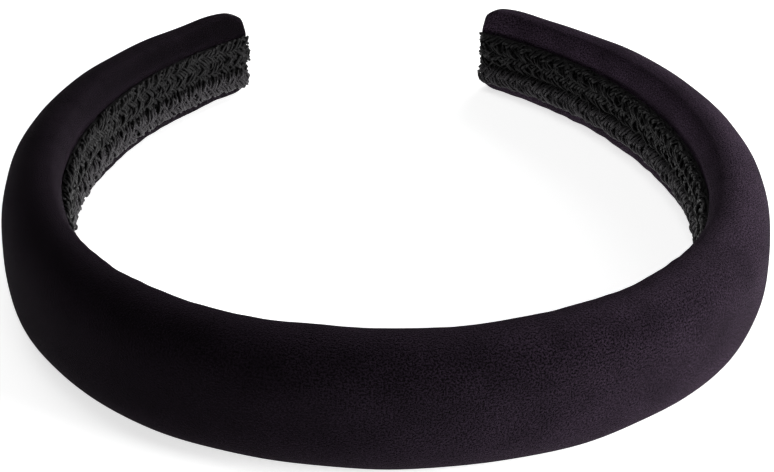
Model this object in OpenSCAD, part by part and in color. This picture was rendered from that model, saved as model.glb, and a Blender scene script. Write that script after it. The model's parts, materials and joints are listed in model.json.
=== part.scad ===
// Padded velvet headband, lying on its lower edge.
// A flat plastic core is bent to a U. It carries a foam pad on its outer face,
// a velvet cover wrapped round both, and a braided trim on its inner face.
// The arms are bodies of their own, so that the band springs open to go on a head.
// Every layer is placed by s, the arc length along the core's inner face from the
// middle of the crown, and by n, the distance outward from that face.

/* [Plan of the band] */
// Radius of the front of the crown, on the core's inner face
front_r = 68; // [56:1:84]
// Half of the angle that the front arc turns through
front_turn = 25.5; // [20:0.5:30]
// Radius of each shoulder
shoulder_r = 57; // [47:1:70]
// Angle that each shoulder turns through
shoulder_turn = 50.5; // [42:0.5:56]
// Radius of each side arm
side_r = 97; // [80:1:118]
// Angle that each side arm turns through
side_turn = 65; // [54:0.5:72]

/* [Width and padding] */
// Height of the finished band at the crown
crown_h = 25; // [20.8:0.1:31]
// Height of the finished band at the tips
tip_h = 17.8; // [14.8:0.1:21.4]
// How late along the arm the height falls
height_fall = 2.6; // [2:0.1:3.5]
// Depth of the padding at the crown, from the core's inner face to the velvet's outside
crown_t = 10.6; // [8.8:0.1:13]
// The same depth at the tips
tip_t = 6.2; // [5.2:0.1:7.5]
// How late along the arm the depth falls
depth_fall = 2.3; // [1.8:0.1:3.2]
// Squareness of the padded section: 2 is an ellipse
section_power = 3; // [2.4:0.1:3.6]
// Radius of the rounded corners at the tips
tip_round = 3; // [2.4:0.1:3.6]

/* [Core] */
// Thickness of the plastic core
core_t = 1.8; // [1.5:0.1:2.3]
// Distance from the core's edge to the finished edge of the band
core_margin = 3.6; // [3:0.1:4.4]
// Distance from the core's end to the inside of the cover's end
core_end_gap = 1.2; // [0.8:0.1:2]

/* [Layers] */
// Thickness of the velvet
velvet_t = 0.8; // [0.6:0.05:1]
// Thickness of the tape between core and foam
foam_tape_t = 0.2; // [0.15:0.05:0.3]
// How far the foam tape stays in from the core's edge
foam_tape_inset = 1.5; // [1:0.1:2]
// Thickness of the tape that holds the braid
braid_tape_t = 0.2; // [0.15:0.05:0.3]
// Width of the tape that holds the braid
braid_tape_w = 7; // [5.8:0.1:8.4]
// Gap down the middle of the inner face, between the velvet's two raw edges
raw_edge_gap = 3.6; // [3:0.1:4.4]
// Clearance between one layer and the next
layer_gap = 0.1; // [0.08:0.01:0.14]

/* [Braid] */
// Width of the braid's lower rib
low_rib_w = 4.8; // [4:0.1:5.8]
// Width of the braid's upper rib
high_rib_w = 7.2; // [6:0.1:8.6]
// How far the middle of the braid lies below the middle of the band
braid_drop = 1; // [0:0.1:1.2]
// Thickness of the braid along the crest of its two ribs
braid_t = 1.5; // [1.2:0.05:1.8]
// Thickness of the braid at its edges and in the groove between the ribs
braid_thin = 0.5; // [0.4:0.05:0.6]
// How far the braid stops short of the end of the cover
braid_end_gap = 0.4; // [0.3:0.1:1]

/* [Glue] */
// Radius of the dab of glue that holds each end of the braid
glue_r = 1.4; // [1.1:0.05:1.45]
// Distance of the dab from the end of the band
glue_from_end = 6; // [4.5:0.1:8]

/* [Spring of the arms] */
// Arc length from the middle of the crown to the place where an arm flexes
flex_s = 50; // [42:1:60]
// Gap between the pieces of the crown and the pieces of an arm
flex_gap = 0.3; // [0.2:0.05:0.5]

/* [Hidden] */

ring_step = 6;      // arc length between two rings of a swept layer
strip_step = 2;     // arc length between two corners of an upright strip
tip_rings = 4;      // rings that draw the rounded end of an arm
dome_n = 12;        // points round the padded outside of a section
return_n = 3;       // points round each rolled edge, from the dome to the inner face
low_rib_n = 5;      // steps across the braid's lower rib
high_rib_n = 7;     // steps across its upper rib
glue_sides = 48;
overrun = 5;        // how far a cutting shape runs past what it cuts

// Arc lengths at which the plan changes from one arc to the next
front_len = front_r * front_turn * PI / 180;
shoulder_len = shoulder_r * shoulder_turn * PI / 180;
side_len = side_r * side_turn * PI / 180;
half_len = front_len + shoulder_len + side_len;
cover_end = half_len - velvet_t;

// The plan: heading, arc centres and points for s from 0 to half_len
function heading(s) =
    s <= front_len ? s / front_r * 180 / PI
    : s <= front_len + shoulder_len ? front_turn + (s - front_len) / shoulder_r * 180 / PI
    : front_turn + shoulder_turn + (s - front_len - shoulder_len) / side_r * 180 / PI;
function outward(turn) = [sin(turn), -cos(turn)];
front_c = [0, front_r];
shoulder_c = front_c + (front_r - shoulder_r) * outward(front_turn);
side_c = shoulder_c + (shoulder_r - side_r) * outward(front_turn + shoulder_turn);
function plan_at(s, n) =
    s <= front_len ? front_c + (front_r + n) * outward(heading(s))
    : s <= front_len + shoulder_len ? shoulder_c + (shoulder_r + n) * outward(heading(s))
    : side_c + (side_r + n) * outward(heading(s));

// The origin is below the middle of the finished band's box
depth_shift = (plan_at(half_len, tip_t)[1] - crown_t) / 2;
function placed(s, n, z) =
    let (side = s < 0 ? -1 : 1, p = plan_at(abs(s), n))
    [side * p[0], p[1] - depth_shift, z];

// Height and depth of the finished band, which is rounded off at the tips
function along(s) = abs(s) / half_len;
function tip_pull(s) =
    let (in = max(0, abs(s) - (half_len - tip_round)))
    tip_round - sqrt(max(0, pow(tip_round, 2) - pow(in, 2)));
function soft_pull(s) = tip_pull(s) * 0.5;
function low_z(s) = soft_pull(s);
function high_z(s) = crown_h - (crown_h - tip_h) * pow(along(s), height_fall) - soft_pull(s);
function pad_t(s) = crown_t - (crown_t - tip_t) * pow(along(s), depth_fall) - soft_pull(s);
function mid_z(s) = (low_z(s) + high_z(s)) / 2;
function half_h(s) = (high_z(s) - low_z(s)) / 2;

// One D-shaped outline: a dome of depth t outward and a rolled edge of depth b inward.
// The angle runs from the lower roll over the dome to the upper roll. No point lies at
// the very bottom, so the two lowest points make a flat strip to rest on.
dome_step = 180 / dome_n;
edge_z = pow(cos(dome_step / 2), 2 / section_power);
function power_of(x) = sign(x) * pow(abs(x), 2 / section_power);
function d_angle(i) = -90 - return_n * dome_step + (i + 0.5) * dome_step;
d_count = dome_n + 2 * return_n;
function d_point(i, t, b, h) =
    let (a = d_angle(i), c = cos(a))
    [c > 0 ? t * power_of(c) : b * power_of(c), h * power_of(sin(a)) / edge_z];
function d_outline(t, b, h, flap) = concat(
    [[-b, -flap]],
    [for (i = [0 : d_count - 1]) d_point(i, t, b, h)],
    [[-b, flap]]);

// A swept solid from rings of points. The second half of each ring runs back along the
// first half, so an end is closed by a strip between the two.
module skin(rings) {
    m = len(rings[0]);
    last = len(rings) - 1;
    half = m / 2;
    polyhedron(
        points = [for (ring = rings) each ring],
        faces = concat(
            [for (i = [0 : last - 1], j = [0 : m - 1])
                let (k = (j + 1) % m, a = i * m, b = a + m)
                each [[a + j, b + k, b + j], [a + j, a + k, b + k]]],
            [for (j = [0 : half - 2])
                let (p = m - 1 - j)
                each [[j, p - 1, j + 1], [j, p, p - 1]]],
            [for (j = [0 : half - 2])
                let (p = m - 1 - j, e = last * m)
                each [[e + j + 1, e + p, e + j], [e + j + 1, e + p - 1, e + p]]]));
}

// Stations of the crown and of one arm
function steps(a, b) = max(2, ceil((b - a) / ring_step));
function spread(a, b) = let (k = steps(a, b)) [for (i = [0 : k]) a + (b - a) * i / k];
crown_stations = spread(-(flex_s - flex_gap / 2), flex_s - flex_gap / 2);
function arm_stations(end) =
    let (start = flex_s + flex_gap / 2, bend = half_len - tip_round)
    end <= bend ? spread(start, end)
    : concat(spread(start, bend), [for (i = [1 : tip_rings]) bend + (end - bend) * i / tip_rings]);
function reverse(list) = [for (i = [len(list) - 1 : -1 : 0]) list[i]];
function ring_at(s, outline, z0) = [for (p = outline) placed(s, p[0], z0 + p[1])];

// Velvet: outer and inner faces of a wrapped sheet that is open along the inner face
cover_back = velvet_t + layer_gap;
function cover_ring(s) =
    let (flap = raw_edge_gap / 2, t = pad_t(s), h = half_h(s))
    ring_at(s, concat(
        d_outline(t, cover_back, h, flap),
        reverse(d_outline(t - velvet_t, layer_gap, h - velvet_t, flap))), mid_z(s));
module cover(stations) {
    skin([for (s = stations) cover_ring(s)]);
}

// The velvet folded over the end of an arm, from the rolled edge to the dome
function end_fold_ring(s) =
    let (t = pad_t(s), h = half_h(s), outline = d_outline(t, cover_back, h, raw_edge_gap / 2))
    ring_at(s, outline, mid_z(s));
module cover_end() {
    skin([for (s = [cover_end + layer_gap, half_len]) end_fold_ring(s)]);
}

// Core: an upright strip along the plan, cut to the side profile of the band
core_end = cover_end - core_end_gap;
function core_low(s) = core_margin + tip_pull(s + half_len - core_end);
function core_high(s) = high_z(s) + soft_pull(s) - core_margin - tip_pull(s + half_len - core_end);
function fine_spread(a, b) =
    let (k = ceil((b - a) / strip_step)) [for (i = [0 : k]) a + (b - a) * i / k];
function plan_point(s, n) = let (p = placed(s, n, 0)) [p[0], p[1]];
// Side profile, looking along X, with an inset from the core's edge
module side_profile(inset, end) {
    bend = end - tip_round;
    stations = concat(spread(0, bend), [for (i = [1 : tip_rings]) bend + tip_round * i / tip_rings]);
    front = placed(0, crown_t, 0)[1];
    back = placed(end, crown_t, 0)[1];
    translate([-crown_h * overrun, 0, 0])
        rotate([90, 0, 90])
            linear_extrude(2 * crown_h * overrun)
                polygon(concat(
                    [[front, core_low(0) + inset]],
                    [for (s = stations) [placed(s, 0, 0)[1], core_low(s) + inset]],
                    [[back, core_low(end) + inset], [back, core_high(end) - inset]],
                    reverse([for (s = stations) [placed(s, 0, 0)[1], core_high(s) - inset]]),
                    [[front, core_high(0) - inset]]));
}
module strip(from, to, n0, n1, inset) {
    stations = fine_spread(from, to);
    intersection() {
        linear_extrude(crown_h)
            polygon(concat(
                [for (s = stations) plan_point(s, n0)],
                reverse([for (s = stations) plan_point(s, n1)])));
        side_profile(inset, core_end);
    }
}
module crown_strip(n0, n1, inset) {
    strip(-(flex_s - flex_gap / 2), flex_s - flex_gap / 2, n0, n1, inset);
}
module arm_strip(n0, n1, inset) {
    strip(flex_s + flex_gap / 2, core_end, n0, n1, inset);
}

// Foam: a dome that wraps the core's edges, with a slot that the core and tape lie in
slot_depth = core_t + foam_tape_t + 2 * layer_gap;
foam_foot = 0.96;   // half-width of the foam's flat foot, as a share of its half-height
function slot_half(s) = (high_z(s) + soft_pull(s)) / 2 - core_margin + layer_gap;
function foam_ring(s) =
    let (skin_t = velvet_t + layer_gap, t = pad_t(s) - skin_t, h = half_h(s) - skin_t,
        foot = h * foam_foot, slot = slot_half(s))
    ring_at(s, concat(
        [[0, -foot]],
        [for (i = [return_n : return_n + dome_n - 1]) d_point(i, t, 0, h)],
        [[0, foot]],
        [[0, slot]],
        [for (i = [dome_n - 1 : -1 : 0]) [slot_depth, slot * (2 * i / (dome_n - 1) - 1)]],
        [[0, -slot]]), mid_z(s));
foam_end = cover_end - layer_gap;
module foam(stations) {
    skin([for (s = stations) foam_ring(s)]);
}

// Tape along the middle of the inner face, over the velvet's raw edges
braid_tape_out = cover_back + layer_gap;
braid_tape_end = half_len - glue_from_end - 2 * glue_r;
function braid_z(s) = mid_z(s) - braid_drop;
function strip_ring(s, n_out, t, w) =
    ring_at(s, [[-n_out, -w / 2], [-n_out, w / 2], [-n_out - t, w / 2], [-n_out - t, -w / 2]], braid_z(s));
module braid_tape(stations) {
    skin([for (s = stations) strip_ring(s, braid_tape_out, braid_tape_t, braid_tape_w)]);
}

// Braid: flat on its back, with two ribs and a groove between them on the head's side
braid_w = low_rib_w + high_rib_w;
braid_back = braid_tape_out + braid_tape_t + layer_gap;
braid_end = half_len - braid_end_gap;
function rib(share) = braid_thin + (braid_t - braid_thin) * pow(abs(sin(180 * share)), 0.7);
braid_face = concat(
    [for (i = [0 : low_rib_n]) [low_rib_w * i / low_rib_n, rib(i / low_rib_n)]],
    [for (i = [1 : high_rib_n]) [low_rib_w + high_rib_w * i / high_rib_n, rib(i / high_rib_n)]]);
function braid_ring(s) = ring_at(s, concat(
    [for (p = braid_face) [-braid_back, p[0] - braid_w / 2]],
    reverse([for (p = braid_face) [-braid_back - p[1], p[0] - braid_w / 2]])), braid_z(s));
module braid(stations) {
    skin([for (s = stations) braid_ring(s)]);
}

// Dab of glue between the velvet's raw edges, from the core to the braid
module glue_dab() {
    s = half_len - glue_from_end;
    from = braid_back - layer_gap;
    translate(placed(s, -from, mid_z(s)))
        rotate([90, 0, heading(s)])
            cylinder(h = from - layer_gap, r = glue_r, $fn = glue_sides);
}

// Sub-parts
module core_crown() {
    color("dimgray")
        crown_strip(0, core_t, 0);
}
module core_right() {
    color("dimgray")
        arm_strip(0, core_t, 0);
}
module core_left() {
    mirror([1, 0, 0])
        core_right();
}
module foam_tape_crown() {
    color("khaki")
        crown_strip(core_t + layer_gap, core_t + layer_gap + foam_tape_t, foam_tape_inset);
}
module foam_tape_right() {
    color("khaki")
        arm_strip(core_t + layer_gap, core_t + layer_gap + foam_tape_t, foam_tape_inset);
}
module foam_tape_left() {
    mirror([1, 0, 0])
        foam_tape_right();
}
module foam_crown() {
    color("lightyellow")
        foam(crown_stations);
}
module foam_right() {
    color("lightyellow")
        foam(arm_stations(foam_end));
}
module foam_left() {
    mirror([1, 0, 0])
        foam_right();
}
module cover_crown() {
    color([0.09, 0.07, 0.1])
        cover(crown_stations);
}
module cover_right() {
    color([0.09, 0.07, 0.1])
        cover(arm_stations(cover_end));
}
module cover_left() {
    mirror([1, 0, 0])
        cover_right();
}
module cover_end_right() {
    color([0.12, 0.1, 0.13])
        cover_end();
}
module cover_end_left() {
    mirror([1, 0, 0])
        cover_end_right();
}
module braid_tape_crown() {
    color("gainsboro")
        braid_tape(crown_stations);
}
module braid_tape_right() {
    color("gainsboro")
        braid_tape(arm_stations(braid_tape_end));
}
module braid_tape_left() {
    mirror([1, 0, 0])
        braid_tape_right();
}
module braid_crown() {
    color([0.16, 0.15, 0.16])
        braid(crown_stations);
}
module braid_right() {
    color([0.16, 0.15, 0.16])
        braid(arm_stations(braid_end));
}
module braid_left() {
    mirror([1, 0, 0])
        braid_right();
}
module glue_dab_right() {
    color("wheat")
        glue_dab();
}
module glue_dab_left() {
    mirror([1, 0, 0])
        glue_dab_right();
}

core_crown();
core_left();
core_right();
foam_tape_crown();
foam_tape_left();
foam_tape_right();
foam_crown();
foam_left();
foam_right();
cover_crown();
cover_left();
cover_right();
cover_end_left();
cover_end_right();
braid_tape_crown();
braid_tape_left();
braid_tape_right();
braid_crown();
braid_left();
braid_right();
glue_dab_left();
glue_dab_right();
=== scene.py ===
"""Padded velvet headband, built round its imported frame.

Every layer is placed by s, the arc length along the core's inner face from the middle of the
crown (below zero on the left), by n, the distance outward from that face, and by z.
"""

import json
from math import cos, pi, radians, sin

import bpy
import numpy as np
from bpy.props import FloatProperty, FloatVectorProperty, IntProperty, PointerProperty
from mathutils import Matrix, Vector


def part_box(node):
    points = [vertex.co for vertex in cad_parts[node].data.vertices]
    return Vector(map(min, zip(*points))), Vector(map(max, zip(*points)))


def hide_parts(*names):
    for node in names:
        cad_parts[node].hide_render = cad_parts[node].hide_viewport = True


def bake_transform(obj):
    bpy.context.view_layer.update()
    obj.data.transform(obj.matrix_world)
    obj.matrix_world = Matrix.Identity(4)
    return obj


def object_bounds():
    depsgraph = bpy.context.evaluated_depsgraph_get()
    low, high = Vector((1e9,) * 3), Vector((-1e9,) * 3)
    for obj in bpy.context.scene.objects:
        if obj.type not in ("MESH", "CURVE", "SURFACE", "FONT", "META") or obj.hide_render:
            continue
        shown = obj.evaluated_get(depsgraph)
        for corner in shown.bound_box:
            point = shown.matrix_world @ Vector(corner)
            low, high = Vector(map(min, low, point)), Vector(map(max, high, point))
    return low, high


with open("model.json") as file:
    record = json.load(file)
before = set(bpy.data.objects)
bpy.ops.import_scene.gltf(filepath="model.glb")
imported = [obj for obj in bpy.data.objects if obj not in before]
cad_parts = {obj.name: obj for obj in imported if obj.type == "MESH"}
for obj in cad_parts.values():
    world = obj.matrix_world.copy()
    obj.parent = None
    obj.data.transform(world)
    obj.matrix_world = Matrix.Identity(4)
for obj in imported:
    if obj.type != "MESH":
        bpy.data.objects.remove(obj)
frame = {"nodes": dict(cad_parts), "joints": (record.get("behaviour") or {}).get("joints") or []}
CAD_LOW, CAD_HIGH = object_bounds()
CROWN_LOW, CROWN_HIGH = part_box("cover_crown")
MM = 0.001
SIDES = {"left": -1, "right": 1}

bl_info = {
    "name": "Padded Headband",
    "version": (1, 0, 0),
    "blender": (4, 5, 0),
    "location": "View3D > Sidebar > Headband",
    "description": "Builds a padded velvet headband with a braided lining",
    "category": "Add Mesh",
}


def length(name, text, millimetres):
    size = millimetres * MM
    return FloatProperty(name=name, description=text, default=size, min=0.0, unit="LENGTH", precision=5)


def angle(name, text, degrees):
    return FloatProperty(name=name, description=text, default=radians(degrees), subtype="ANGLE")


def tint(name, text, rgb):
    return FloatVectorProperty(name=name, description=text, default=rgb, min=0.0, max=1.0, subtype="COLOR")


def plain(name, text, value):
    return FloatProperty(name=name, description=text, default=value)


def tally(name, text, number):
    return IntProperty(name=name, description=text, default=number)


class BandShape(bpy.types.PropertyGroup):
    """Plan and section of the band, as the frame has them."""

    front_r: length("Front radius", "Radius of the crown's front, on the core's inner face", 68)
    front_turn: angle("Front turn", "Half of the angle of the front arc", 25.5)
    shoulder_r: length("Shoulder radius", "Radius of each shoulder", 57)
    shoulder_turn: angle("Shoulder turn", "Angle of each shoulder", 50.5)
    side_r: length("Side radius", "Radius of each side arm", 97)
    side_turn: angle("Side turn", "Angle of each side arm", 65)
    crown_h: length("Crown height", "Height of the band at the crown", (CROWN_HIGH[2] - CROWN_LOW[2]) / MM)
    tip_h: length("Tip height", "Height of the band at the tips", 17.8)
    height_fall: plain("Height fall", "How late along the arm the height falls", 2.6)
    crown_t: length("Crown padding", "Depth of the padding at the crown", 10.6)
    tip_t: length("Tip padding", "Depth of the padding at the tips", 6.2)
    depth_fall: plain("Padding fall", "How late along the arm the padding thins", 2.3)
    squareness: plain("Squareness", "Power of the padded section's outline", 3.0)
    tip_round: length("Tip rounding", "Radius of the corners at the tips", 3)
    bend_reach: length("Bend reach", "Arc length that bends, each side of where the arm flexes", 47)


class BandLayers(bpy.types.PropertyGroup):
    """Layers under and over the core."""

    core_t: length("Core thickness", "Thickness of the plastic core", 1.8)
    core_margin: length("Core margin", "From the core's edge to the edge of the band", 3.6)
    core_end_gap: length("Core end gap", "From the core's end to the inside of the cover's end", 1.2)
    velvet_t: length("Velvet thickness", "Thickness of the velvet", 0.8)
    foam_tape_t: length("Foam tape thickness", "Tape between core and foam", 0.2)
    foam_tape_inset: length("Foam tape inset", "From the core's edge to the tape's edge", 1.5)
    braid_tape_t: length("Braid tape thickness", "Tape between velvet and braid", 0.2)
    braid_tape_w: length("Braid tape width", "Tape between velvet and braid", 7)
    raw_edge_gap: length("Raw edge gap", "Between the velvet's two raw edges", 3.6)
    gap: length("Layer gap", "Clearance between layers", 0.1)
    roll: length("Edge roll", "How far the rolled edges stand in past the core", 0.8)
    fold: length("Fold bulk", "How far the folded velvet rises at the tips", 0.9)
    pucker: length("Pucker", "Height of the small puckers along the inner edges", 0.12)
    ease: plain("Ease", "How much longer the velvet is cut than the core's inner face", 0.035)
    pressure: plain("Pressure", "How hard the pad presses the velvet out in the simulation", 2.0)
    lumps: length("Lumps", "Height of the pad's soft unevenness", 0.13)


class BraidSizes(bpy.types.PropertyGroup):
    """The plaited trim on the inner face."""

    low_rib_w: length("Lower rib", "Width of the lower rib", 4.8)
    high_rib_w: length("Upper rib", "Width of the upper rib", 7.2)
    drop: length("Drop", "How far the braid lies below the middle of the band", 1.0)
    relief: length("Rib relief", "How far a rib stands up from the groove", 0.75)
    thin: length("Thin", "Thickness of the backing in the groove", 0.3)
    end_gap: length("End gap", "How far the braid stops short of the band's end", 0.4)
    low_columns: tally("Lower columns", "Rows of slanted stitches on the lower rib", 2)
    high_columns: tally("Upper columns", "Rows of slanted stitches on the upper rib", 4)
    pitch: length("Pitch", "Arc length from one stitch to the next", 1.9)
    thread_w: length("Thread half-width", "Half of a thread's width", 0.31)
    thread_t: length("Thread half-thickness", "Half of a thread's thickness", 0.27)
    ply_gap: length("Ply gap", "From a stitch's middle to each of its two threads", 0.44)
    lift: length("Lift", "Half of the height between over and under", 0.3)
    uneven: length("Unevenness", "How far a thread strays from its even course", 0.28)
    step: length("Step", "Arc length between two rings of a thread", 0.4)


class BandColours(bpy.types.PropertyGroup):
    """Colours of the materials and the floor."""

    # the velvet's base colour is scaled by painted light and shade along the band, and by a painted highlight
    # at the rolled edges
    velvet: tint("Velvet", "Colour of the velvet's ground, which its nap shades", (0.0105, 0.0070, 0.0112))
    pile: tint("Pile", "Colour of the pile's sheen", (0.52, 0.37, 0.54))
    braid: tint("Braid", "Colour of the braid's threads", (0.0056, 0.0052, 0.0057))
    foam: tint("Foam", "Colour of the foam", (0.80, 0.77, 0.66))
    core: tint("Core", "Colour of the plastic core", (0.045, 0.045, 0.05))
    tape: tint("Tape", "Colour of the tapes", (0.74, 0.70, 0.58))
    glue: tint("Glue", "Colour of the glue", (0.78, 0.70, 0.48))
    floor: tint("Floor", "Colour of the floor", (0.86, 0.86, 0.86))


class StageSettings(bpy.types.PropertyGroup):
    """The camera."""

    elevation: angle("Elevation", "How far the camera looks down", 28.9)
    azimuth: angle("Azimuth", "How far the camera stands to the left", 3.7)
    roll: angle("Roll", "How far the camera leans", -0.6)
    tilt: angle("Tilt", "How much lower than the aim point the camera looks", 0.325)
    distance: length("Distance", "From the aim point to the camera", 444)
    lens: plain("Lens", "Focal length in millimetres, on a 36 mm sensor", 109.2)
    aim_y: FloatProperty(name="Aim", description="Y of the aim point", default=-10.5 * MM, unit="LENGTH")


def shape():
    return bpy.context.scene.headband_shape


def layers():
    return bpy.context.scene.headband_layers


def braid_sizes():
    return bpy.context.scene.headband_braid


def colours():
    return bpy.context.scene.headband_colours


def bell(value, middle, spread):
    """A smooth hump, 1 high at the middle."""
    return np.exp(-(((value - middle) / spread) ** 2))


# Plan of the band

def arc_lengths():
    """Lengths of the front, shoulder and side arcs."""
    band = shape()
    return band.front_r * band.front_turn, band.shoulder_r * band.shoulder_turn, band.side_r * band.side_turn


def half_length():
    return sum(arc_lengths())


def heading(s):
    """Turn of the plan at arc lengths s, which are all positive."""
    band = shape()
    front, shoulder, _ = arc_lengths()
    turn = np.minimum(s, front) / band.front_r
    turn += np.clip(s - front, 0, shoulder) / band.shoulder_r
    return turn + np.maximum(s - front - shoulder, 0) / band.side_r


def outward(turn):
    return np.stack([np.sin(turn), -np.cos(turn)], -1)


def place(s, n, z):
    """Points at signed arc lengths s, distances n outward and heights z."""
    band = shape()
    front, shoulder, _ = arc_lengths()
    s, n, z = np.broadcast_arrays(np.asarray(s, float), n, z)
    far = np.abs(s)
    front_hub = np.array([0, band.front_r])
    shoulder_hub = front_hub + (band.front_r - band.shoulder_r) * outward(band.front_turn)
    side_start = outward(band.front_turn + band.shoulder_turn)
    side_hub = shoulder_hub + (band.shoulder_r - band.side_r) * side_start
    on_front, before_side = far <= front, far <= front + shoulder
    hub = np.where(before_side[..., None], shoulder_hub, side_hub)
    hub = np.where(on_front[..., None], front_hub, hub)
    radius = np.where(on_front, band.front_r, np.where(before_side, band.shoulder_r, band.side_r))
    xy = hub + (radius + n)[..., None] * outward(heading(far))
    y = xy[..., 1] + CROWN_LOW[1] + band.crown_t
    return np.stack([np.where(s < 0, -1, 1) * xy[..., 0], y, z], -1)


# Height and padding along the band

SOFT_CORNER = 0.5  # share of the tip's rounding that the soft layers show
FOLD_PLACE = 5.5 * MM  # from the band's end to where the folded velvet is thickest
FOLD_SPREAD = 6.5 * MM


def tip_pull(s):
    """How far the rounded corners at the tips draw an edge in."""
    band = shape()
    into = np.clip(np.abs(s) - (half_length() - band.tip_round), 0, band.tip_round)
    return band.tip_round - np.sqrt(band.tip_round**2 - into**2)


def pad_depth(s):
    band = shape()
    along = np.abs(s) / half_length()
    return band.crown_t - (band.crown_t - band.tip_t) * along**band.depth_fall - SOFT_CORNER * tip_pull(s)


def full_height(s):
    band = shape()
    return band.crown_h - (band.crown_h - band.tip_h) * (np.abs(s) / half_length()) ** band.height_fall


def fold_bulk(s):
    """How far the velvet's upper edge rises where it is folded under near the tips."""
    return layers().fold * bell(np.abs(s), half_length() - FOLD_PLACE, FOLD_SPREAD)


def mid_z(s):
    return full_height(s) / 2


def half_height(s):
    return full_height(s) / 2 - SOFT_CORNER * tip_pull(s)


# Meshes

FIRST_STEP = 0.05 * MM  # to the second ring, so that two halves meet smoothly
CORNER_RINGS = 8
LAYER_STEP = 2 * MM  # arc length between two rings of a plain layer
FLEX_SEARCH = 400  # places looked at to find where an arm flexes


def new_object(name, points, faces, made_of, attributes=None):
    """A smooth mesh object from arrays of points and faces."""
    mesh = bpy.data.meshes.new(name)
    mesh.from_pydata(np.asarray(points).reshape(-1, 3).tolist(), [], faces)
    for key, values in (attributes or {}).items():
        layer = mesh.attributes.new(key, "FLOAT", "POINT")
        layer.data.foreach_set("value", np.asarray(values, np.float32).ravel())
    mesh.shade_smooth()
    mesh.materials.append(made_of)
    mesh.validate()
    obj = bpy.data.objects.new(name, mesh)
    bpy.context.collection.objects.link(obj)
    return obj


def tube_faces(rings, count, start=0):
    """Quads round a tube of closed rings."""
    faces = []
    for i in range(rings - 1):
        a, b = start + i * count, start + (i + 1) * count
        faces += [(a + j, b + j, b + (j + 1) % count, a + (j + 1) % count) for j in range(count)]
    return faces


def strip_cap(first, count):
    """Quads that close a ring whose second half runs back along its first half."""
    half = count // 2
    return [(first + j, first + j + 1, first + count - 2 - j, first + count - 1 - j) for j in range(half - 1)]


def flipped(faces):
    return [face[::-1] for face in faces]


def stations(end, step, fine_end=False):
    """Arc lengths from 0 to end, on request closer together round the tip's corners."""
    corner = shape().tip_round if fine_end else 0.0
    straight = np.linspace(0, end - corner, int(np.ceil((end - corner) / step)) + 1)
    parts = [[0.0, FIRST_STEP], straight[1:]]
    if fine_end:
        turn = np.linspace(0, pi / 2, CORNER_RINGS + 1)[1:]
        parts.append(end - corner + corner * np.sin(turn))
    return np.concatenate(parts)


def swept(name, side, where, section, made_of):
    """One half of a layer, swept from the middle of the crown to its end and closed at both."""
    sign = SIDES[side]
    outlines = [section(s) for s in where]
    rings = np.array([place(sign * s, ring[:, 0], ring[:, 1]) for s, ring in zip(where, outlines)])
    count = rings.shape[1]
    last = (len(where) - 1) * count
    faces = tube_faces(len(where), count) + strip_cap(0, count) + flipped(strip_cap(last, count))
    if sign < 0:
        faces = flipped(faces)
    return new_object(name, rings, faces, made_of)


def bend_with_arm(piece, side):
    """Finds where the arm flexes, near its joint's pivot, and the reach round it, then only bakes the piece's
    transform; the piece is not bent.
    """
    reach, sign = shape().bend_reach, SIDES[side]
    joint = next(j for j in frame["joints"] if j["child"] == f"{side}_arm")
    pivot = np.array(joint["pos_m"])
    rise = np.linspace(0, half_length(), FLEX_SEARCH)
    gap = np.linalg.norm(place(sign * rise, pad_depth(rise), 0)[:, :2] - pivot[:2], axis=1)
    flex = rise[gap.argmin()]
    start, end = (place(sign * (flex + way * reach), 0.0, pivot[2]) for way in (-1, 1))
    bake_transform(piece)


# Sections of the layers

OUTLINE_TURN = 158  # degrees each way from the middle of the dome to the start of a flap
OUTLINE_POINTS = 480
UPPER_ROLL = (0.68, 0.22)  # where the rolled edge swells and how widely, in half-heights
LOWER_ROLL = (0.80, 0.15)
DOME_TURN = 84  # degrees each way from the middle of the foam's dome to its feet
DOME_POINTS = 26
FOOT_SHARE = 0.96  # where the foam's feet stand, in half-heights
STRIP_POINTS = 7


def squared(value):
    """A sine or cosine made fuller by the squareness of the padded section."""
    return np.sign(value) * np.abs(value) ** (2 / shape().squareness)


def rolled_outline(t, back, h, count):
    """Outline of the velvet from its lower to its upper raw edge, and the distance along it."""
    layer = layers()
    flap = layer.raw_edge_gap / 2
    a = np.radians(np.linspace(-OUTLINE_TURN, OUTLINE_TURN, OUTLINE_POINTS))
    z = h * squared(np.sin(a))
    crest, spread = (np.where(z > 0, upper, lower) for upper, lower in zip(UPPER_ROLL, LOWER_ROLL))
    inward = back + layer.roll * bell(np.abs(z) / h, crest, spread)
    n = np.where(np.cos(a) > 0, t, inward) * squared(np.cos(a))
    n = np.concatenate([[-back], n, [-back]])
    z = np.concatenate([[-flap], z, [flap]])
    far = np.concatenate([[0], np.cumsum(np.hypot(np.diff(n), np.diff(z)))])
    at = np.linspace(0, far[-1], count)
    return np.stack([np.interp(at, far, n), np.interp(at, far, z)], -1), at


def foam_section(s):
    """Outline of the foam: a dome, with a slot in its back for the core and its tape."""
    layer = layers()
    skin = layer.velvet_t + layer.gap
    t, h = pad_depth(s) - skin, half_height(s) - skin
    a = np.radians(np.linspace(-DOME_TURN, DOME_TURN, DOME_POINTS))
    dome = np.stack([t * squared(np.cos(a)), h * squared(np.sin(a))], -1)
    foot, slot = FOOT_SHARE * h, mid_z(s) - layer.core_margin + layer.gap
    depth = layer.core_t + layer.foam_tape_t + 2 * layer.gap
    inner = np.stack([np.full(DOME_POINTS, depth), np.linspace(slot, -slot, DOME_POINTS)], -1)
    ring = np.concatenate([[[0, -foot]], dome, [[0, foot], [0, slot]], inner, [[0, -slot]]])
    return ring + [0, mid_z(s)]


def core_half(s):
    """Half-height of the core, rounded off at its end."""
    layer = layers()
    shifted = s + layer.velvet_t + layer.core_end_gap
    return mid_z(s) - layer.core_margin - tip_pull(np.minimum(shifted, half_length()))


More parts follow.
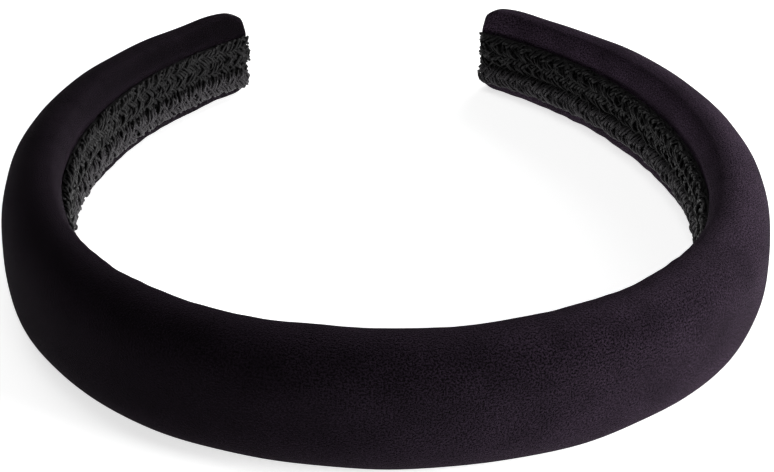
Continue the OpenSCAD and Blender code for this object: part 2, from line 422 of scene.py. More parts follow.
def strip_section(near, far, half, middle):
    """Outline of a flat strip between two distances outward."""
    z = np.linspace(-half, half, STRIP_POINTS)
    outer = np.stack([np.full(STRIP_POINTS, far), z], -1)
    inner = np.stack([np.full(STRIP_POINTS, near), z], -1)
    return np.concatenate([outer, inner[::-1]]) + [0, middle]


# The velvet cover

COVER_COLUMNS = 72  # points from one raw edge to the other
COVER_STEP = 1.1 * MM
UNDER_RISE = 0.9  # share of the fold's rise that shows on the velvet's underside
UNDER_SHIFT = 0.8  # share of the other unevenness that shows there
UNDER_FLOOR = 0.9  # least height of the underside, in velvet thicknesses
LUMP_WAVES = (34 * MM, 21 * MM)
LUMP_SHARE = 0.9  # the pad's unevenness shows up to this share of the half-girth
PUCKER_WAVES = (8.5 * MM, 5.2 * MM)
PUCKER_STRETCH = 0.35  # puckers run across the edge
PUCKER_PLACE, PUCKER_SPREAD = 0.66, 0.13  # shares of the half-girth
PUCKER_RISE = 60 * MM  # arc length at which the puckers reach their full height
PUCKER_LEAST = 0.35  # share of it near the middle of the crown
SMOOTH_END = 8 * MM  # length before the tip over which the unevenness fades out
LUMP_SEED, PUCKER_SEED = 3, 11
OUTER_BULGE, INNER_BULGE = 0.6 * MM, 0.4 * MM  # how far the closed ends swell

CLOTH_COLUMNS = 46  # the same for the simulated cloth
CLOTH_STEP = 1.6 * MM
CLOTH_SCALE = 30.0  # how much larger than life the simulation runs
CLOTH_FRAMES = 20
HELD_END = 4 * MM  # the velvet is held fixed this far from each tip
SINK_CAP, LIFT_CAP = -0.6 * MM, 1.0 * MM  # how far the simulation may move the velvet
BEFORE_LAST = 1.001  # keeps a place just short of the last row


def soft_noise(s, v, seed, wavelengths, waves_each=4, most_turn=0.9, evened=2.2):
    """Smooth seeded unevenness over arc length s and girth v, between about -1 and 1."""
    rng = np.random.default_rng(seed)
    total = np.zeros(np.broadcast(s, v).shape)
    for wave in wavelengths:
        for _ in range(waves_each):
            turn, phase = rng.uniform(-most_turn, most_turn), rng.uniform(0, 2 * pi)
            stretch = wave * rng.uniform(0.75, 1.3)
            total = total + np.sin(2 * pi * (s * cos(turn) + v * sin(turn)) / stretch + phase)
    return total / (evened * len(wavelengths))


def grid_normals(grid):
    along, around = np.gradient(grid, axis=0), np.gradient(grid, axis=1)
    normal = np.cross(along, around)
    return normal / np.maximum(np.linalg.norm(normal, axis=-1, keepdims=True), 1e-12)


def held_share(share):
    """How firmly the velvet is held at each share of its half-girth: fixed at the glued flaps,
    all but free round the rolled edges, and by the foam most in the middle of the front."""
    flap, edge, free = 0.84, 0.5, 0.03
    by_foam = 0.05 + 0.45 * bell(share, 0, 0.42)
    return np.where(share > flap, 1.0, np.where(share > edge, free, by_foam))


def cloth_rows():
    """Arc lengths of the simulated rows, and their points on the band and on the flat cloth."""
    layer, end = layers(), half_length()
    rows = np.linspace(-end, end, int(2 * end / CLOTH_STEP) + 1)
    start, flat = [], []
    for s in rows:
        ring, girth = rolled_outline(pad_depth(s), layer.velvet_t + layer.gap, half_height(s), CLOTH_COLUMNS)
        start.append(place(s, ring[:, 0], ring[:, 1] + mid_z(s)))
        flat.append(np.stack([np.full(CLOTH_COLUMNS, s), girth, np.zeros(CLOTH_COLUMNS)], -1))
    flat = np.array(flat)
    flat[..., 0] *= 1 + layer.ease
    return rows, np.array(start), flat


def cloth_object(rows, start, flat):
    """The velvet as a coarse sheet that remembers its flat size and how firmly it is held."""
    mesh = bpy.data.meshes.new("cloth")
    index = np.arange(len(rows) * CLOTH_COLUMNS).reshape(-1, CLOTH_COLUMNS)
    quads = np.stack([index[:-1, :-1], index[1:, :-1], index[1:, 1:], index[:-1, 1:]], -1)
    mesh.from_pydata((start.reshape(-1, 3) * CLOTH_SCALE).tolist(), [], quads.reshape(-1, 4).tolist())
    obj = bpy.data.objects.new("cloth", mesh)
    bpy.context.collection.objects.link(obj)
    obj.shape_key_add(name="start")
    cut = obj.shape_key_add(name="cut")
    cut.data.foreach_set("co", (flat.reshape(-1, 3) * CLOTH_SCALE).astype(np.float32).ravel())
    weights = np.tile(held_share(np.abs(np.linspace(-1, 1, CLOTH_COLUMNS))), (len(rows), 1))
    weights[np.abs(rows) > half_length() - HELD_END] = 1.0
    group = obj.vertex_groups.new(name="held")
    for i, weight in enumerate(weights.ravel()):
        group.add([i], float(weight), "REPLACE")
    return obj


def add_cloth(obj):
    """Sets the velvet's stiffness, its hold and the pad's pressure."""
    cloth = obj.modifiers.new("cloth", "CLOTH")
    cloth.point_cache.frame_end = CLOTH_FRAMES
    cloth.collision_settings.use_collision = False
    settings = cloth.settings
    settings.quality = 6
    settings.mass = 0.2
    settings.tension_stiffness = 40
    settings.compression_stiffness = 40
    settings.bending_stiffness = 0.6
    settings.vertex_group_mass = "held"
    settings.pin_stiffness = 1.0
    settings.rest_shape_key = obj.data.shape_keys.key_blocks["cut"]
    settings.use_pressure = True
    settings.uniform_pressure_force = layers().pressure
    settings.effector_weights.gravity = 0


def settle():
    """Simulates the velvet over the pad, cut a little longer than the inner edges it wraps,
    and gives how far each point of a coarse grid moves along its normal."""
    rows, start, flat = cloth_rows()
    obj = cloth_object(rows, start, flat)
    add_cloth(obj)
    scene = bpy.context.scene
    for frame_number in range(1, CLOTH_FRAMES + 1):
        scene.frame_set(frame_number)
    ended = obj.evaluated_get(bpy.context.evaluated_depsgraph_get()).to_mesh()
    moved = np.empty(len(ended.vertices) * 3, np.float32)
    ended.vertices.foreach_get("co", moved)
    shift = (moved.reshape(start.shape) - start * CLOTH_SCALE) / CLOTH_SCALE
    mesh = obj.data
    bpy.data.objects.remove(obj)
    bpy.data.meshes.remove(mesh)
    scene.frame_set(1)
    lift = (shift * -grid_normals(start)).sum(-1)
    return rows, np.clip(lift, SINK_CAP, LIFT_CAP)


SETTLED = {}


def settled(s, share):
    """Lift of the velvet at arc lengths s and shares of the girth from 0 to 1, from the simulation."""
    if not SETTLED:
        SETTLED["rows"], SETTLED["lift"] = settle()
    rows, lift = SETTLED["rows"], SETTLED["lift"]
    i = np.clip(np.interp(s, rows, np.arange(len(rows))), 0, len(rows) - BEFORE_LAST)
    j = np.clip(share * (lift.shape[1] - 1), 0, lift.shape[1] - BEFORE_LAST)
    i0, j0 = i.astype(int), j.astype(int)
    past_i, past_j = i - i0, j - j0
    near = lift[i0, j0] * (1 - past_j) + lift[i0, j0 + 1] * past_j
    far = lift[i0 + 1, j0] * (1 - past_j) + lift[i0 + 1, j0 + 1] * past_j
    return near * (1 - past_i) + far * past_i


def unevenness(where, signed, girth):
    """How far the velvet strays outward: the pad's lumps, the puckers and the simulated lift."""
    layer, count = layers(), girth.shape[1]
    share = np.abs(girth) / girth[:, -1:]
    lumps = layer.lumps * soft_noise(signed, girth, LUMP_SEED, LUMP_WAVES) * (share < LUMP_SHARE)
    edge = bell(share, PUCKER_PLACE, PUCKER_SPREAD)
    turn = np.clip(where / PUCKER_RISE, PUCKER_LEAST, 1)[:, None]
    ripple = soft_noise(signed, girth * PUCKER_STRETCH, PUCKER_SEED, PUCKER_WAVES)
    puckers = layer.pucker * edge * turn * ripple
    lift = settled(signed, np.linspace(0, 1, count)[None, :] + 0 * signed)
    fade = np.clip((half_length() - where) / SMOOTH_END, 0, 1)[:, None]
    return (lumps + puckers + lift) * fade


def cover_grids(where, sign, count):
    """Outer and inner faces of the velvet as grids of points, with arc length and girth."""
    layer, outer, inner, girth = layers(), [], [], []
    for s in where:
        t, h, middle = pad_depth(s), half_height(s), mid_z(s)
        ring, at = rolled_outline(t, layer.velvet_t + layer.gap, h, count)
        under, _ = rolled_outline(t - layer.velvet_t, layer.gap, h - layer.velvet_t, count)
        rise = fold_bulk(s) * np.clip(ring[:, 1] / h, 0, 1) ** 2
        outer.append(place(sign * s, ring[:, 0], ring[:, 1] + middle + rise))
        inner.append(place(sign * s, under[:, 0], under[:, 1] + middle + UNDER_RISE * rise))
        girth.append(at - at[-1] / 2)
    outer, inner, girth = np.array(outer), np.array(inner), np.array(girth)
    signed = sign * where[:, None] + 0 * girth
    normal = grid_normals(outer) * -sign
    shift = normal * unevenness(where, signed, girth)[..., None]
    outer, inner = outer + shift, inner + shift * UNDER_SHIFT
    outer[..., 2] = np.maximum(outer[..., 2], CAD_LOW[2])
    inner[..., 2] = np.maximum(inner[..., 2], CAD_LOW[2] + UNDER_FLOOR * layer.velvet_t)
    return outer, inner, signed, girth


def end_cap(ring, ids, first, ahead, bulge, rings=7, shrink=0.97):
    """Points and faces that close a ring of points with ever smaller rings, bulging ahead."""
    centre, count = ring.mean(0), len(ring)
    share = 1 - np.arange(1, rings + 1) / rings * shrink
    lift = ahead * (bulge * np.sqrt(1 - share**2))[:, None, None]
    inside = centre + (ring - centre) * share[:, None, None] + lift
    index = np.concatenate([[ids], first + np.arange(rings * count).reshape(rings, count)])
    faces = [
        (int(a), int(b), int(d), int(c))
        for near, far in zip(index[:-1], index[1:])
        for a, b, c, d in zip(near, np.roll(near, -1), far, np.roll(far, -1))
    ]
    return inside.reshape(-1, 3), faces + [tuple(int(i) for i in index[-1])]


def cover_half(side, made_of):
    """Half of the wrapped velvet: a sheet with thickness, closed over the end of the arm."""
    sign, count = SIDES[side], COVER_COLUMNS
    where = stations(half_length(), COVER_STEP, fine_end=True)
    outer, inner, signed, girth = cover_grids(where, sign, count)
    turn = heading(np.array(half_length()))
    ahead = np.array([sign * np.cos(turn), np.sin(turn), 0])
    inner[-1] -= ahead * layers().velvet_t
    rings, size = len(where), 2 * count
    total = rings * size
    last = total - size
    out_ids = np.arange(last, last + count)
    in_ids = np.arange(last + size - 1, last + count - 1, -1)
    out_points, out_faces = end_cap(outer[-1], out_ids, total, ahead, OUTER_BULGE)
    in_points, in_faces = end_cap(inner[-1], in_ids, total + len(out_points), ahead, INNER_BULGE)
    faces = tube_faces(rings, size) + strip_cap(0, size) + flipped(out_faces) + in_faces
    faces.append(tuple(int(i) for i in (in_ids[0], in_ids[-1], out_ids[-1], out_ids[0])))
    if sign < 0:
        faces = flipped(faces)
    body = np.concatenate([outer, inner[:, ::-1]], axis=1).reshape(-1, 3)
    ends = np.concatenate([out_points, in_points])
    whole_girth = np.concatenate([girth, girth[:, ::-1]], 1).ravel()
    shares = np.tile(np.abs(np.linspace(-1, 1, count)), 2 * rings)
    values = {
        "along": np.concatenate([np.repeat(signed[:, 0], size), np.full(len(ends), sign * half_length())]),
        "around": np.concatenate([whole_girth, ends[:, 2]]),
        "share": np.concatenate([shares, np.zeros(len(ends))]),
    }
    points = np.concatenate([body, ends])
    return new_object(f"velvet_cover_{side}", points, faces, made_of, values)


# The braid

THREAD_SIDES = 6
BACKING_POINTS = 25
BACKING_INSET = 0.45 * MM  # from the braid's edge to its backing's edge
BACKING_RELIEF = 0.85  # share of the ribs' relief that the backing has
RIB_FULLNESS = 0.75  # power of a rib's rounding
LOOSE_END = 1.5 * MM  # threads are laid this far past the end, then cut ragged
TURN_SHARPNESS = 0.985  # how sharply a strand turns back at the edges, below 1
CROSSED_SHARE = 0.94  # share of the braid's width that a strand crosses
OVER_FULLNESS = 0.7  # power of the rise from under to over
SEATING = 0.6  # height of a thread's middle over the backing, in half-thicknesses
EVEN_DIP, ODD_DIP = 0.5, 1.6  # how far strands sink into the groove, in unevennesses
DIP_SPREAD = 0.9 * MM
FLAT_END = 0.35  # share of its height that the braid keeps where it ends
FLAT_FROM, FLAT_REACH = 0.6 * MM, 2.5 * MM  # past the band's end, and back along it
WIDTH_WAVES = (13 * MM, 5.7 * MM, 3.1 * MM)
ALONG_WAVES = (11 * MM, 4.7 * MM)
HEIGHT_WAVES = (5.3 * MM, 2.9 * MM)
FULL_WAVES = (2.3 * MM, 1.4 * MM, 4.4 * MM)
WIDTH_SEED, ALONG_SEED, HEIGHT_SEED, RAGGED_SEED = 100, 200, 300, 23
FULL_CHANGE = 0.22  # how much a thread's thickness varies
LEAN = 0.75  # how far a thread leans with the slope of its rib
SLANT_LENGTH = 1.6  # of thread for each length of the band


def rib_height(w):
    """How far the braid stands up at distance w from its lower edge."""
    trim = braid_sizes()
    share = np.where(w < trim.low_rib_w, w / trim.low_rib_w, (w - trim.low_rib_w) / trim.high_rib_w)
    return trim.relief * np.abs(np.sin(pi * np.clip(share, 0, 1))) ** RIB_FULLNESS


def braid_width():
    trim = braid_sizes()
    return trim.low_rib_w + trim.high_rib_w


def braid_centre(s):
    return mid_z(s) - braid_sizes().drop


def braid_back():
    """From the core's inner face in to the back of the braid."""
    layer = layers()
    return layer.velvet_t + 3 * layer.gap + layer.braid_tape_t


def waver(s, seed, wavelengths):
    """Seeded unevenness along a thread, between about -1 and 1."""
    rng = np.random.default_rng(seed)
    total = 0
    for wave in wavelengths:
        stretch = wave * rng.uniform(0.8, 1.2)
        total = total + np.sin(2 * pi * s / stretch + rng.uniform(0, 2 * pi))
    return total / len(wavelengths)


def columns():
    trim = braid_sizes()
    return trim.low_columns + trim.high_columns


def across(u):
    """Distance from the braid's lower edge of column coordinate u."""
    trim = braid_sizes()
    return np.interp(u, [0, trim.low_columns, columns()], [0, trim.low_rib_w, braid_width()])


def thread_path(strand, twin):
    """One thread of the plait over the whole band: arc length, width, height off the back."""
    trim, count = braid_sizes(), columns()
    own = 2 * strand + (twin > 0)
    end = half_length() - trim.end_gap + LOOSE_END
    s = np.arange(-end, end, trim.step)
    turn = 2 * pi * (s / (2 * count * trim.pitch) + strand / (2 * count))
    wave = np.arcsin(TURN_SHARPNESS * np.sin(turn)) / np.arcsin(TURN_SHARPNESS)
    u = count / 2 * (1 + wave * CROSSED_SHARE)
    w = across(u) + trim.uneven * waver(s, WIDTH_SEED + own, WIDTH_WAVES)
    over = np.sign(np.cos(turn)) * np.sin(pi * u)
    over = np.sign(over) * np.abs(over) ** OVER_FULLNESS
    edge = np.clip(2 * np.minimum(u, count - u), 0, 1)
    proud = 0.5 * trim.uneven * ((-1) ** strand + 3 * waver(s, HEIGHT_SEED + own, HEIGHT_WAVES))
    dip = ODD_DIP if strand % 2 else EVEN_DIP
    proud = proud - dip * trim.uneven * bell(w, trim.low_rib_w, DIP_SPREAD)
    height = trim.thin + rib_height(w) + trim.thread_t * SEATING + trim.lift * (1 + over * edge) + proud
    inside = np.clip((half_length() + FLAT_FROM - np.abs(s)) / FLAT_REACH, 0, 1)
    height *= FLAT_END + (1 - FLAT_END) * inside
    along = s + twin * trim.ply_gap + trim.uneven * waver(s, ALONG_SEED + own, ALONG_WAVES)
    return along, w, np.maximum(height, trim.thin * SEATING)


def braid_point(s, w, height):
    return place(s, -braid_back() - height, braid_centre(s) + w - braid_width() / 2)


def thread_seed(w, micrometres=1e6, seeds=9973):
    """A seed of a thread's own, from where across the braid it starts."""
    return int(micrometres * abs(w[0])) % seeds


def thread_rings(s, w, height):
    """Rings of a flattened tube round a path on the braid's face."""
    trim, probe, reach = braid_sizes(), 0.5 * MM, 0.2 * MM
    centre = braid_point(s, w, height)
    tangent = np.gradient(centre, axis=0)
    tangent /= np.linalg.norm(tangent, axis=1, keepdims=True)
    up = braid_point(s, w, height + probe) - centre
    up /= np.linalg.norm(up, axis=1, keepdims=True)
    slope = (rib_height(w + reach) - rib_height(w - reach)) / (2 * reach)
    up = up - np.array([0, 0, 1]) * (LEAN * slope)[:, None]
    up -= tangent * (up * tangent).sum(1, keepdims=True)
    up /= np.linalg.norm(up, axis=1, keepdims=True)
    sideways = np.cross(tangent, up)
    a = 2 * pi * np.arange(THREAD_SIDES) / THREAD_SIDES
    full = 1 + FULL_CHANGE * waver(s, thread_seed(w), FULL_WAVES)
    ring = sideways[:, None] * (trim.thread_w * np.cos(a))[None, :, None]
    ring = ring + up[:, None] * (trim.thread_t * np.sin(a))[None, :, None]
    return centre[:, None] + ring * full[:, None, None]


def thread_tone(w, chance):
    """How light a thread is: painted lighter on the lower rib, painted shade in the groove, and some random
    tone.
    """
    trim = braid_sizes()
    # painted light: threads on the lower rib are made lighter, as if the rib caught more light
    low = 1 / (1 + np.exp((w - trim.low_rib_w) / (0.4 * MM)))
    # painted shade: threads in the groove between the ribs are darkened
    groove = bell(w, trim.low_rib_w, 0.6 * MM)
    return np.clip(0.15 + 0.25 * chance + 0.6 * low - 0.4 * groove, 0, 1)


def braid_threads(side):
    """Points, faces and attributes of the plait's threads on one half of the band."""
    rng = np.random.default_rng(RAGGED_SEED)
    end = half_length() - braid_sizes().end_gap
    points, faces, values, total = [], [], {"along": [], "around": [], "tone": []}, 0
    for strand in range(2 * columns()):
        for twin in (-1, 1):
            s, w, height = thread_path(strand, twin)
            ragged = rng.uniform(0.2, 1.0, 2) * MM
            keep = (s > -end - ragged[0]) & (s < end + ragged[1])
            s, w, height = s[keep], w[keep], height[keep]
            middle = int(np.argmin(np.abs(s)))
            part = slice(middle, None) if side == "right" else slice(0, middle + 1)
            rings = thread_rings(s, w, height)[part]
            count = len(rings)
            last = total + (count - 1) * THREAD_SIDES
            points.append(rings.reshape(-1, 3))
            faces += tube_faces(count, THREAD_SIDES, total)
            faces.append(tuple(range(total, total + THREAD_SIDES)))
            faces.append(tuple(range(last, last + THREAD_SIDES))[::-1])
            values["along"].append(np.repeat(s[part] * SLANT_LENGTH, THREAD_SIDES))
            values["around"].append(np.tile(np.arange(THREAD_SIDES) / THREAD_SIDES, count))
            # tone holds painted light on the lower rib and painted shade in the groove, besides random tone
            values["tone"].append(np.repeat(thread_tone(w[part], rng.uniform(0, 1)), THREAD_SIDES))
            total += count * THREAD_SIDES
    return np.concatenate(points), faces, {key: np.concatenate(parts) for key, parts in values.items()}


def braid_backing_section(s):
    width = braid_width()
    w = np.linspace(BACKING_INSET, width - BACKING_INSET, BACKING_POINTS)
    face = braid_sizes().thin + BACKING_RELIEF * rib_height(w)
    back = np.stack([np.full(BACKING_POINTS, -braid_back()), w], -1)
    front = np.stack([-braid_back() - face, w], -1)[::-1]
    return np.concatenate([back, front]) + [0, braid_centre(s) - width / 2]


def braid_half(side, thread_finish, ground_finish):
    """Half of the plaited trim: its threads and the ground under them, coloured darker than the yarn as
    painted shade in the slits.
    """
    points, faces, values = braid_threads(side)
    threads = new_object(f"braid_threads_{side}", points, faces, thread_finish, values)
    where = stations(half_length() - braid_sizes().end_gap, LAYER_STEP)
    ground = swept(f"braid_ground_{side}", side, where, braid_backing_section, ground_finish)
    return threads, ground


# Materials

def material(name, build):
    """A node material: build(nodes, links, shader) makes the network."""
    made = bpy.data.materials.new(name)
    made.use_nodes = True
    tree = made.node_tree
    build(tree.nodes, tree.links, tree.nodes["Principled BSDF"])
    return made


def finish(node, values):
    """Sets the values that are even all over, on the node's own sockets."""
    for key, value in values.items():
        node.inputs[key].default_value = value


def attribute(nodes, name):
    node = nodes.new("ShaderNodeAttribute")
    node.attribute_name = name
    return node.outputs["Fac"]


def coordinates(nodes, links, along):
    """A point from a value along the piece and the piece's own way round."""
    joined = nodes.new("ShaderNodeCombineXYZ")
    links.new(along, joined.inputs["X"])
    links.new(attribute(nodes, "around"), joined.inputs["Y"])
    return joined.outputs["Vector"]


def noise(nodes, links, scale, detail=2.0, rough=0.5, at=None):
    node = nodes.new("ShaderNodeTexNoise")
    finish(node, {"Scale": scale, "Detail": detail, "Roughness": rough})
    if at is not None:
        links.new(at, node.inputs["Vector"])
    return node.outputs["Fac"]


def ramp(nodes, links, value, low, high, stops=(0.3, 0.7)):
    """Colours from low to high as value goes from the first stop to the second."""
    node = nodes.new("ShaderNodeValToRGB")
    for element, stop, colour in zip(node.color_ramp.elements, stops, (low, high)):
        element.position = stop
        element.color = (*colour, 1)
    links.new(value, node.inputs["Fac"])
    return node.outputs["Color"]


def bump(nodes, links, shader, heights):
    """Chains bumps of (value, distance, strength) into the shader's normal."""
    last = None
    for value, distance, strength in heights:
        node = nodes.new("ShaderNodeBump")
        finish(node, {"Distance": distance, "Strength": strength})
        links.new(value, node.inputs["Height"])
        if last is not None:
            links.new(last, node.inputs["Normal"])
        last = node.outputs["Normal"]
    links.new(last, shader.inputs["Normal"])


def shaded(colour, factor):
    return tuple(min(1.0, c * factor) for c in colour)


def scaled(nodes, links, value, span, result, kind="LINEAR"):
    """The value's span mapped to the result's two ends, and held at them beyond it."""
    node = nodes.new("ShaderNodeMapRange")
    node.interpolation_type = kind
    finish(node, dict(zip(("From Min", "From Max", "To Min", "To Max"), (*span, *result))))
    links.new(value, node.inputs["Value"])
    return node.outputs["Result"]


def arithmetic(nodes, links, operation, *values):
    """A Math node on other nodes' values and on plain numbers."""
    node = nodes.new("ShaderNodeMath")
    node.operation = operation
    for entry, value in zip(node.inputs, values):
        if isinstance(value, float):
            entry.default_value = value
        else:
            links.new(value, entry)
    return node.outputs["Value"]


def tinted(nodes, links, colour, factor):
    """The colour made lighter or darker by a factor."""
    node = nodes.new("ShaderNodeVectorMath")
    node.operation = "SCALE"
    links.new(colour, node.inputs["Vector"])
    links.new(factor, node.inputs["Scale"])
    return node.outputs["Vector"]


def mottled(nodes, links, shader, colour, shades, scale, detail):
    """A base colour that wanders between two shades of one colour."""
    cloud = noise(nodes, links, scale, detail)
    low, high = (shaded(colour, factor) for factor in shades)
    links.new(ramp(nodes, links, cloud, low, high), shader.inputs["Base Color"])


def velvet(nodes, links, shader):
    """Fine pile, brushed in patches, with painted light: lighter toward the right arm, darker toward the
    left, and lighter along the rolled edges.
    """
    c, end = colours(), half_length()
    along = attribute(nodes, "along")
    cloth = coordinates(nodes, links, along)
    grain = noise(nodes, links, 2900, 3.0, 0.8, cloth)
    brushed = noise(nodes, links, 120, 3.0, 0.6, cloth)
    # painted light and shade: the base colour runs from dark at the left arm to light at the right arm, as if
    # lit from the right
    painted_light = scaled(nodes, links, along, (-0.45 * end, 0.75 * end), (0.10, 2.3), "SMOOTHSTEP")
    patches = scaled(nodes, links, brushed, (0.35, 0.65), (0.75, 1.25))
    # painted highlight: the base colour is made up to 1.6 times lighter along the rolled edges
    painted_edge_light = scaled(nodes, links, attribute(nodes, "share"), (0.58, 0.8), (1.0, 1.6))
    tone = arithmetic(nodes, links, "MULTIPLY", painted_light, patches)
    tone = arithmetic(nodes, links, "MULTIPLY", tone, painted_edge_light)
    pile = ramp(nodes, links, grain, shaded(c.velvet, 0.08), shaded(c.velvet, 2.0), (0.44, 0.58))
    links.new(tinted(nodes, links, pile, tone), shader.inputs["Base Color"])
    finish(shader, {"Roughness": 0.85, "Specular IOR Level": 0.02})
    finish(shader, {"Sheen Weight": 0.10, "Sheen Roughness": 0.26, "Sheen Tint": (*c.pile, 1)})
    bump(nodes, links, shader, [(brushed, 0.0004, 0.3), (grain, 0.0006, 1.0)])


def braid_thread(nodes, links, shader):
    """Black fuzzy yarn with two twisted plies, painted glints and a lower rib painted lighter."""
    c = colours()
    lightness = attribute(nodes, "tone")
    # the tone ramp carries painted light on the lower rib and painted shade in the groove, besides random
    # tone
    tone = ramp(nodes, links, lightness, shaded(c.braid, 0.2), shaded(c.braid, 2.7), (0.0, 1.0))
    fuzz = scaled(nodes, links, noise(nodes, links, 1300, 4.0, 0.75), (0.40, 0.62), (0.05, 2.2))
    low_rib = scaled(nodes, links, lightness, (0.55, 0.8), (0.0, 1.0))
    # painted highlights: small bright spots in the lower rib's base colour stand for glints
    painted_glints = scaled(nodes, links, noise(nodes, links, 1000, 0.0), (0.58, 0.68), (0.0, 9.0))
    bright = arithmetic(nodes, links, "MULTIPLY_ADD", low_rib, painted_glints, fuzz)
    links.new(tinted(nodes, links, tone, bright), shader.inputs["Base Color"])
    glints = scaled(nodes, links, noise(nodes, links, 700, 1.0), (0.56, 0.68), (0.5, 0.14))
    links.new(glints, shader.inputs["Roughness"])
    finish(shader, {"Specular IOR Level": 0.12, "Sheen Weight": 0.01, "Sheen Roughness": 0.4})
    plies = nodes.new("ShaderNodeTexWave")
    plies.wave_type = "BANDS"
    plies.bands_direction = "DIAGONAL"
    finish(plies, {"Scale": 1.0})
    twist = arithmetic(nodes, links, "MULTIPLY", attribute(nodes, "along"), 420.0)
    links.new(coordinates(nodes, links, twist), plies.inputs["Vector"])
    bump(nodes, links, shader, [(plies.outputs["Fac"], 0.00008, 0.7)])


def braid_ground(nodes, links, shader):
    # painted shade: the braid's base under the threads is two to five times darker than the yarn, for the
    # shade in the slits between stitches
    mottled(nodes, links, shader, colours().braid, (0.2, 0.5), 900, 2.0)
    finish(shader, {"Roughness": 0.95})


def foam(nodes, links, shader):
    c = colours()
    cells = nodes.new("ShaderNodeTexVoronoi")
    finish(cells, {"Scale": 1500})
    colour = ramp(nodes, links, cells.outputs["Distance"], shaded(c.foam, 0.8), c.foam)
    links.new(colour, shader.inputs["Base Color"])
    finish(shader, {"Roughness": 0.95})
    bump(nodes, links, shader, [(cells.outputs["Distance"], 0.0003, 0.6)])


def plastic(nodes, links, shader):
    mottled(nodes, links, shader, colours().core, (0.9, 1.1), 60, 3.0)
    finish(shader, {"Roughness": 0.4})
    bump(nodes, links, shader, [(noise(nodes, links, 1400), 0.00003, 0.3)])


def tape(nodes, links, shader):
    mottled(nodes, links, shader, colours().tape, (0.85, 1), 1100, 4.0)
    finish(shader, {"Roughness": 0.6})


def glue(nodes, links, shader):
    mottled(nodes, links, shader, colours().glue, (0.85, 1), 500, 2.0)
    finish(shader, {"Roughness": 0.25})


def pale_floor(nodes, links, shader):
    mottled(nodes, links, shader, colours().floor, (0.99, 1), 6, 2.0)
    finish(shader, {"Roughness": 0.9, "Emission Color": (1, 1, 1, 1), "Emission Strength": 0.72})


# Operators

TAPE_SHORT = 1.5 * MM  # how far the braid's tape stops short of the braid
FLOOR_REACH = 3.0
FLOOR_DROP = 0.02 * MM
WORLD_LIGHT = 0.03
LAMPS = {  # place, size, power
    "key": ((0.66, -0.30, 0.14), 0.45, 12.0),
    "back": ((0.42, 0.50, 0.32), 0.5, 2.2),
    "fill": ((-0.12, 0.02, 0.38), 0.3, 0.5),
}
SENSOR_WIDTH = 36.0


def nodes_of(kind, side):
    """CAD nodes of one layer on one side, with the crown's."""
    return f"{kind}_crown", f"{kind}_{side}"


class HEADBAND_OT_cover(bpy.types.Operator):
    """Wraps the velvet round the band, open along the inner face"""

    bl_idname = "headband.cover"
    bl_label = "Velvet cover"

    def execute(self, context):
        cloth = material("velvet", velvet)
        for side in SIDES:
            half = cover_half(side, cloth)
            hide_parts(*nodes_of("cover", side), f"cover_end_{side}")
            bend_with_arm(half, side)
        return {"FINISHED"}


class HEADBAND_OT_padding(bpy.types.Operator):
    """Builds the foam pad, the plastic core and the tape between them"""

    bl_idname = "headband.padding"
    bl_label = "Padding and core"

    def execute(self, context):
        layer = layers()
        inside = half_length() - layer.velvet_t
        core_end = inside - layer.core_end_gap
        tape_near = layer.core_t + layer.gap / 2

        def core(s):
            return strip_section(0.0, layer.core_t, core_half(s), mid_z(s))

        def foam_tape(s):
            half = core_half(s) - layer.foam_tape_inset
            return strip_section(tape_near, tape_near + layer.foam_tape_t, half, mid_z(s))

        for name, end, section, build, slot in (
            ("foam", inside - layer.gap, foam_section, foam, "foam"),
            ("core", core_end, core, plastic, "core_plastic"),
            ("foam_tape", core_end - layer.foam_tape_inset, foam_tape, tape, "mounting_tape"),
        ):
            made = material(name, build)
            for side in SIDES:
                piece = swept(f"{name}_pad_{side}", side, stations(end, LAYER_STEP), section, made)
                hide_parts(*nodes_of(name, side))
                bend_with_arm(piece, side)
        return {"FINISHED"}


class HEADBAND_OT_braid(bpy.types.Operator):
    """Plaits the trim and lays it over its tape"""

    bl_idname = "headband.braid"
    bl_label = "Braided trim"

    def execute(self, context):
        layer = layers()
        near = -braid_back() + layer.gap / 2
        where = stations(half_length() - braid_sizes().end_gap - TAPE_SHORT, LAYER_STEP)

        def braid_tape(s):
            return strip_section(near, near + layer.braid_tape_t, layer.braid_tape_w / 2, braid_centre(s))

        yarn = material("braid", braid_thread)
        ground = material("ground", braid_ground)
        sticky = material("tape", tape)
        for side in SIDES:
            threads, under = braid_half(side, yarn, ground)
            strip = swept(f"braid_strip_{side}", side, where, braid_tape, sticky)
            for piece, kind in ((threads, "braid"), (under, "braid"), (strip, "braid_tape")):
                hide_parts(*nodes_of(kind, side))
                bend_with_arm(piece, side)
        return {"FINISHED"}


class HEADBAND_OT_glue(bpy.types.Operator):
    """Gives the dabs of glue under the ends of the braid their finish"""

    bl_idname = "headband.glue"
    bl_label = "Glue dabs"

    def execute(self, context):
        made = material("dried_glue", glue)
        for side in SIDES:
            dab = frame["nodes"][f"glue_dab_{side}"]
            dab.data.materials.clear()
            dab.data.materials.append(made)
        return {"FINISHED"}


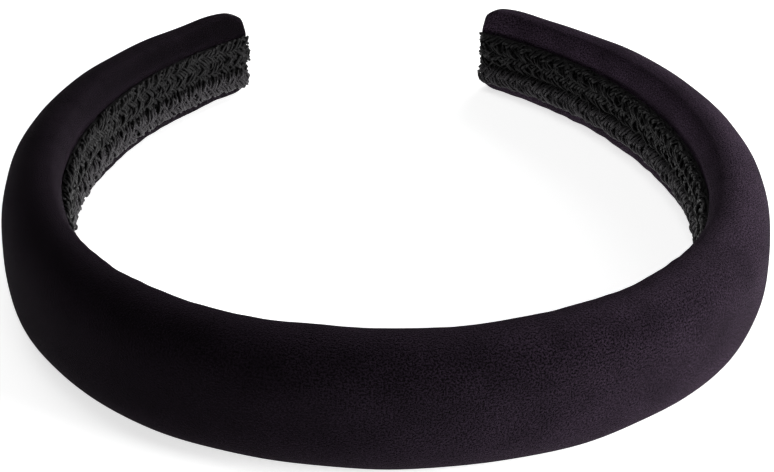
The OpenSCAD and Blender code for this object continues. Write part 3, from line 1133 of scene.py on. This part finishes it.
class HEADBAND_OT_stage(bpy.types.Operator):
    """Sets the floor, the lights and the camera"""

    bl_idname = "headband.stage"
    bl_label = "Stage"

    def execute(self, context):
        self.floor()
        self.lights(context)
        self.camera(context)
        return {"FINISHED"}

    def floor(self):
        low = CAD_LOW[2] - FLOOR_DROP
        corners = [(x * FLOOR_REACH, y * FLOOR_REACH, low) for x, y in ((-1, -1), (1, -1), (1, 1), (-1, 1))]
        mesh = bpy.data.meshes.new("floor")
        mesh.from_pydata(corners, [], [(0, 1, 2, 3)])
        mesh.materials.append(material("floor", pale_floor))
        obj = bpy.data.objects.new("floor", mesh)
        bpy.context.collection.objects.link(obj)

    def lights(self, context):
        world = bpy.data.worlds.new("studio")
        context.scene.world = world
        world.use_nodes = True
        finish(world.node_tree.nodes["Background"], {"Color": (1, 1, 1, 1), "Strength": WORLD_LIGHT})
        for name, (where, size, power) in LAMPS.items():
            lamp = bpy.data.lights.new(name, "AREA")
            lamp.size = size
            lamp.energy = power
            obj = bpy.data.objects.new(name, lamp)
            obj.location = where
            obj.rotation_euler = (-Vector(where)).to_track_quat("-Z", "Y").to_euler()
            bpy.context.collection.objects.link(obj)
        context.scene.view_settings.view_transform = "Standard"

    def camera(self, context):
        c = context.scene.headband_stage
        sin_e, cos_e = sin(c.elevation), cos(c.elevation)
        sin_a, cos_a = sin(c.azimuth), cos(c.azimuth)
        forward = Vector((sin_a * cos_e, cos_a * cos_e, -sin_e))
        right = Vector((cos_a, -sin_a, 0))
        up = right.cross(forward)
        right, up = right * cos(c.roll) - up * sin(c.roll), right * sin(c.roll) + up * cos(c.roll)
        aim = Vector((0, c.aim_y, (CAD_LOW[2] + CAD_HIGH[2]) / 2))
        spot = aim - forward * c.distance
        forward, up = forward * cos(c.tilt) - up * sin(c.tilt), up * cos(c.tilt) + forward * sin(c.tilt)
        data = bpy.data.cameras.new("camera")
        data.lens = c.lens
        data.sensor_width = SENSOR_WIDTH
        data.clip_start = 0.01
        data.clip_end = 20
        obj = bpy.data.objects.new("camera", data)
        turn = Matrix((right, up, -forward)).transposed()
        obj.matrix_world = Matrix.Translation(spot) @ turn.to_4x4()
        bpy.context.collection.objects.link(obj)
        context.scene.camera = obj


STEPS = (HEADBAND_OT_cover, HEADBAND_OT_padding, HEADBAND_OT_braid, HEADBAND_OT_glue, HEADBAND_OT_stage)
GROUPS = {
    "headband_shape": BandShape,
    "headband_layers": BandLayers,
    "headband_braid": BraidSizes,
    "headband_colours": BandColours,
    "headband_stage": StageSettings,
}


class HEADBAND_PT_panel(bpy.types.Panel):
    """Lists the steps in the order they run, and the sizes and colours they use"""

    bl_idname = "HEADBAND_PT_panel"
    bl_label = "Headband"
    bl_space_type = "VIEW_3D"
    bl_region_type = "UI"
    bl_category = "Headband"

    def draw(self, context):
        for step in STEPS:
            self.layout.operator(step.bl_idname)
        for name, group in GROUPS.items():
            box = self.layout.box()
            for key in group.__annotations__:
                box.prop(getattr(context.scene, name), key)


def register():
    for made in (*GROUPS.values(), *STEPS, HEADBAND_PT_panel):
        bpy.utils.register_class(made)
    for name, group in GROUPS.items():
        setattr(bpy.types.Scene, name, PointerProperty(type=group))


def unregister():
    for name in GROUPS:
        delattr(bpy.types.Scene, name)
    for made in reversed((*GROUPS.values(), *STEPS, HEADBAND_PT_panel)):
        bpy.utils.unregister_class(made)


def main():
    register()
    bpy.ops.headband.cover()
    bpy.ops.headband.padding()
    bpy.ops.headband.braid()
    bpy.ops.headband.glue()
    bpy.ops.headband.stage()


if __name__ == "__main__":
    main()
